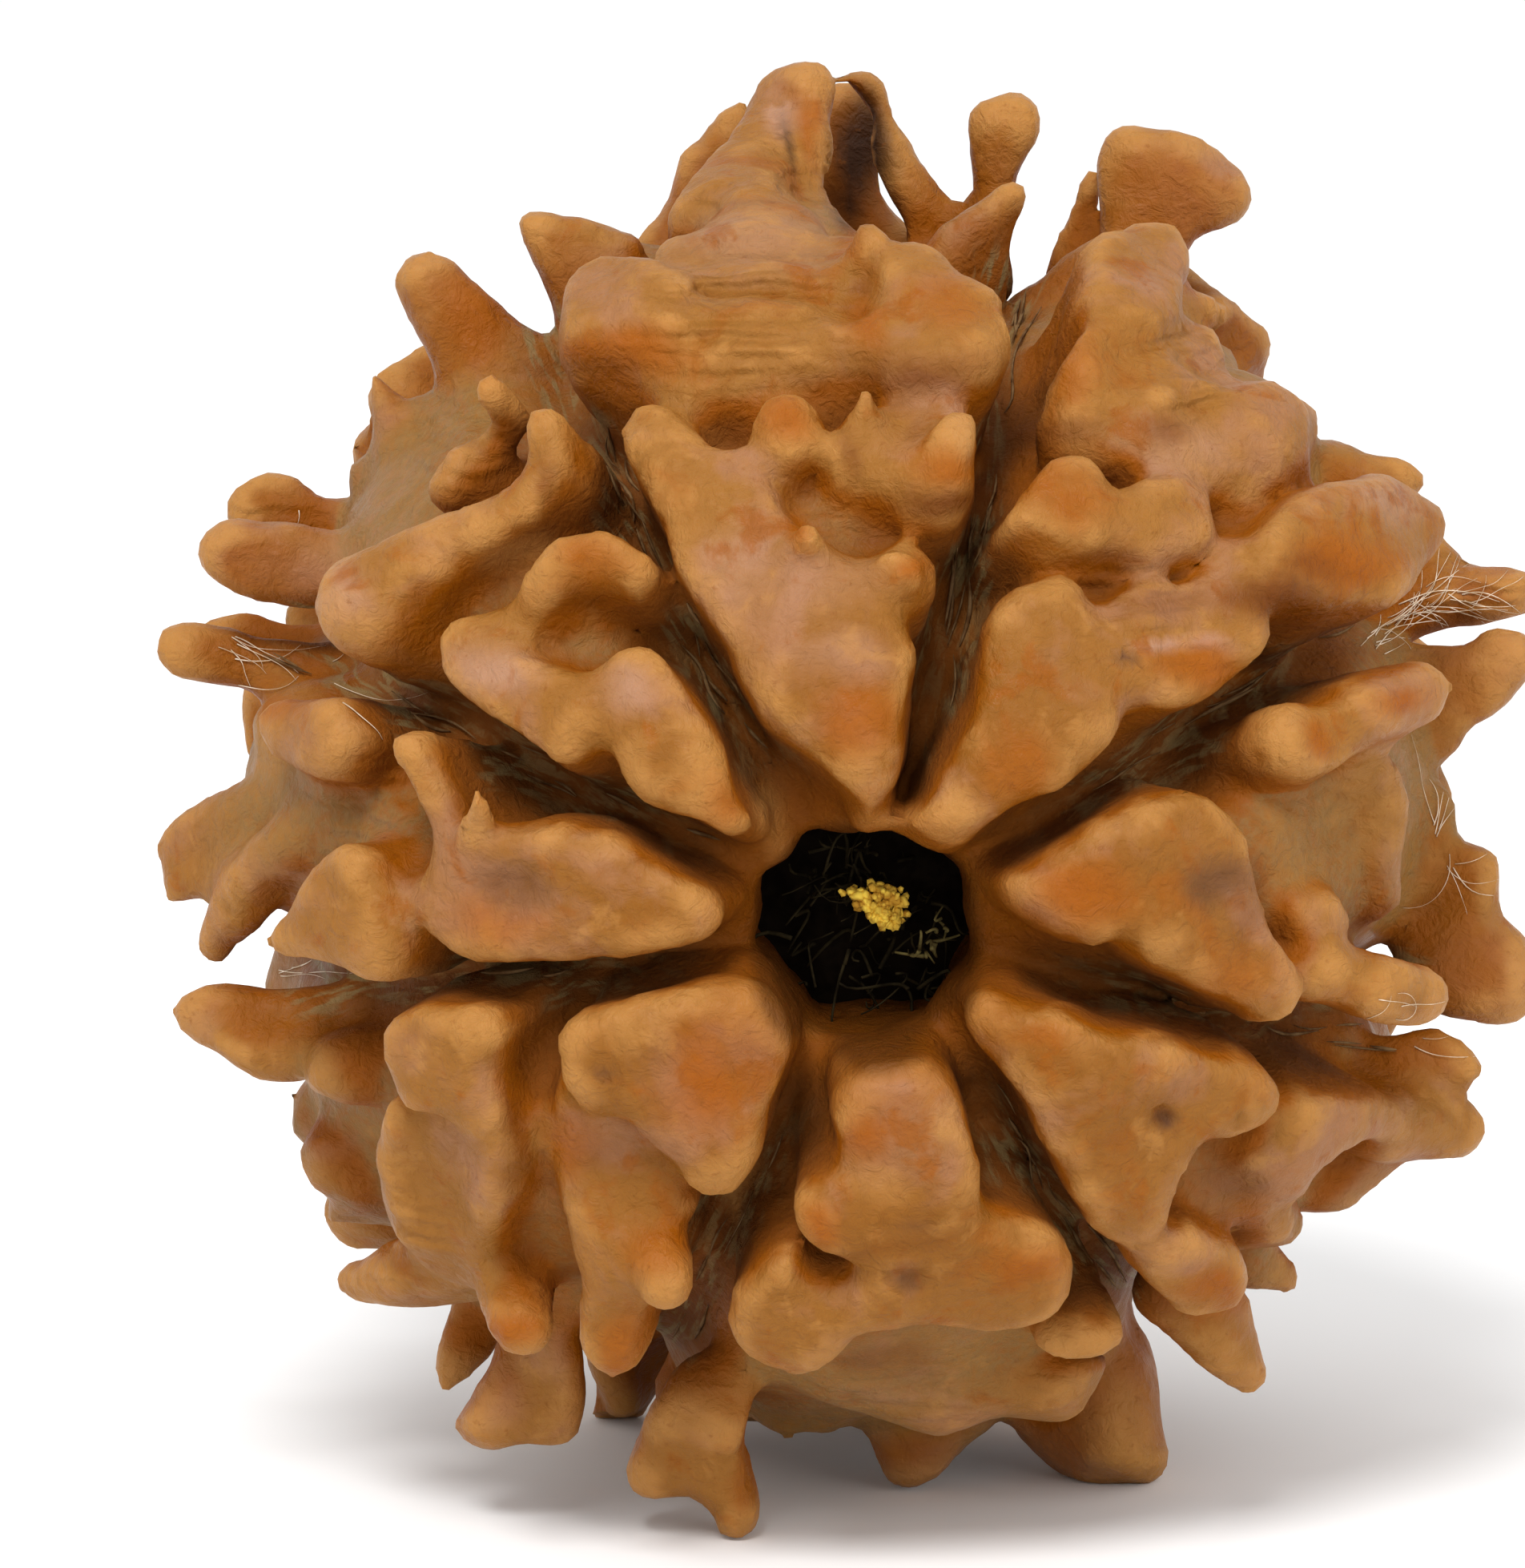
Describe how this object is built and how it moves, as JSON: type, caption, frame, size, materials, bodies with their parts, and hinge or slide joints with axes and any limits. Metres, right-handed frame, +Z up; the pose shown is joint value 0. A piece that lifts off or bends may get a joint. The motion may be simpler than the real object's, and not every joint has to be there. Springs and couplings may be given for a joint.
{
  "type": "rudraksha bead",
  "caption": "Knobbly woody seed stone with deep clefts between its faces and a natural bore from end to end, strung as a prayer or jewellery bead.",
  "frame": {"origin": "under the middle of the bead, on the surface it lies on", "axes": "+Y along the bore, away from the showing mouth, which faces -Y; +Z up from the worn spots it lies on; +X to the right of someone who looks at the showing mouth"},
  "size_m": [0.0246, 0.0208, 0.0251],
  "materials": {
    "stone": "waxy, lightly oiled woody stone, tan on top and dark in the clefts"
  },
  "bodies": {
    "root": {"bead": "stone"}
  },
  "joints": []
}
